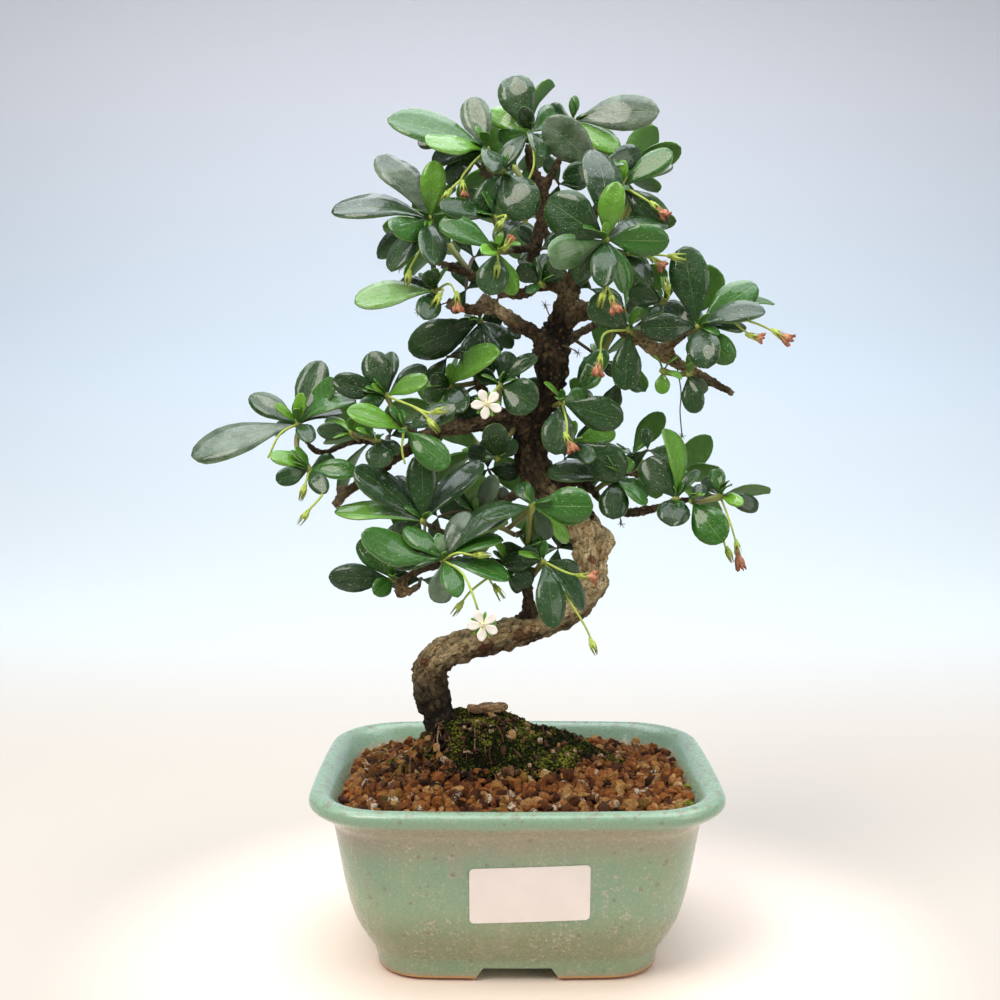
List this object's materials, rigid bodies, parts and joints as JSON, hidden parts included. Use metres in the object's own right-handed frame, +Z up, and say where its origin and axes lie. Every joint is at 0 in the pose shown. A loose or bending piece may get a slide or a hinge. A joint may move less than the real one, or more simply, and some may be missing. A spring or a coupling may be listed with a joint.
{
  "type": "potted bonsai tree",
  "caption": "Fukien tea bonsai with an S-shaped trunk, tiers of small glossy leaves and a few white flowers, in a square glazed pot",
  "frame": {"origin": "middle of the bounding box in plan, on the surface that the pot's feet stand on", "axes": "Z up along the trunk, X to the right and Y to the back as the picture shows the front of the pot"},
  "size_m": [0.2242, 0.135, 0.3349],
  "materials": {
    "glaze": "mint and sage green glaze with brown speckles",
    "paper": "plain matt paper",
    "baked_clay": "rough orange-brown granules",
    "moss": "fine velvety moss with pale dead roots",
    "dead_bark": "dry flat bark",
    "bark": "fissured bark, tan and dark brown",
    "leaf_green": "glossy green leaves and matt green stalks",
    "petal_white": "soft white petals",
    "petal_wilted": "dry orange petals"
  },
  "bodies": {
    "root": {"bark_chip": "dead_bark", "flower_low_left_front": "petal_white", "flower_neck_front": "petal_white", "label": "paper", "moss": "moss", "pot": "glaze", "soil": "baked_clay", "spray_back_crown": "leaf_green", "spray_back_crown_left": "leaf_green", "spray_back_crown_right": "leaf_green", "spray_back_far_left": "leaf_green", "spray_back_far_right": "leaf_green", "spray_back_left": "leaf_green", "spray_back_low": "leaf_green", "spray_back_low_left": "leaf_green", "spray_back_low_right": "leaf_green", "spray_back_right": "leaf_green", "spray_crown_front": "leaf_green", "spray_crown_front_left": "leaf_green", "spray_crown_left": "leaf_green", "spray_crown_low_right": "leaf_green", "spray_crown_top": "leaf_green", "spray_crown_top_left": "leaf_green", "spray_crown_top_right": "leaf_green", "spray_left_end": "leaf_green", "spray_left_front": "leaf_green", "spray_left_mid": "leaf_green", "spray_left_upper": "leaf_green", "spray_low_front": "leaf_green", "spray_low_left_back": "leaf_green", "spray_low_left_end": "leaf_green", "spray_low_left_front": "leaf_green", "spray_low_middle": "leaf_green", "spray_low_right": "leaf_green", "spray_neck_front": "leaf_green", "spray_neck_left": "leaf_green", "spray_neck_low": "leaf_green", "spray_neck_right": "leaf_green", "spray_neck_top": "leaf_green", "spray_right_hang": "leaf_green", "spray_right_inner": "leaf_green", "spray_right_low_end": "leaf_green", "spray_right_low_inner": "leaf_green", "spray_right_low_mid": "leaf_green", "spray_right_top": "leaf_green", "spray_trunk_right": "leaf_green", "wilted_0_crown_top_left": "petal_wilted", "wilted_10_trunk_right": "petal_wilted", "wilted_12_low_right": "petal_wilted", "wilted_13_right_low_end": "petal_wilted", "wilted_1_crown_top": "petal_wilted", "wilted_2_crown_left": "petal_wilted", "wilted_3_crown_front_left": "petal_wilted", "wilted_4_crown_front": "petal_wilted", "wilted_5_crown_top_right": "petal_wilted", "wilted_6_crown_front": "petal_wilted", "wilted_7_right_top": "petal_wilted", "wilted_8_right_top": "petal_wilted", "wilted_9_right_inner": "petal_wilted", "wood": "bark"}
  },
  "joints": []
}
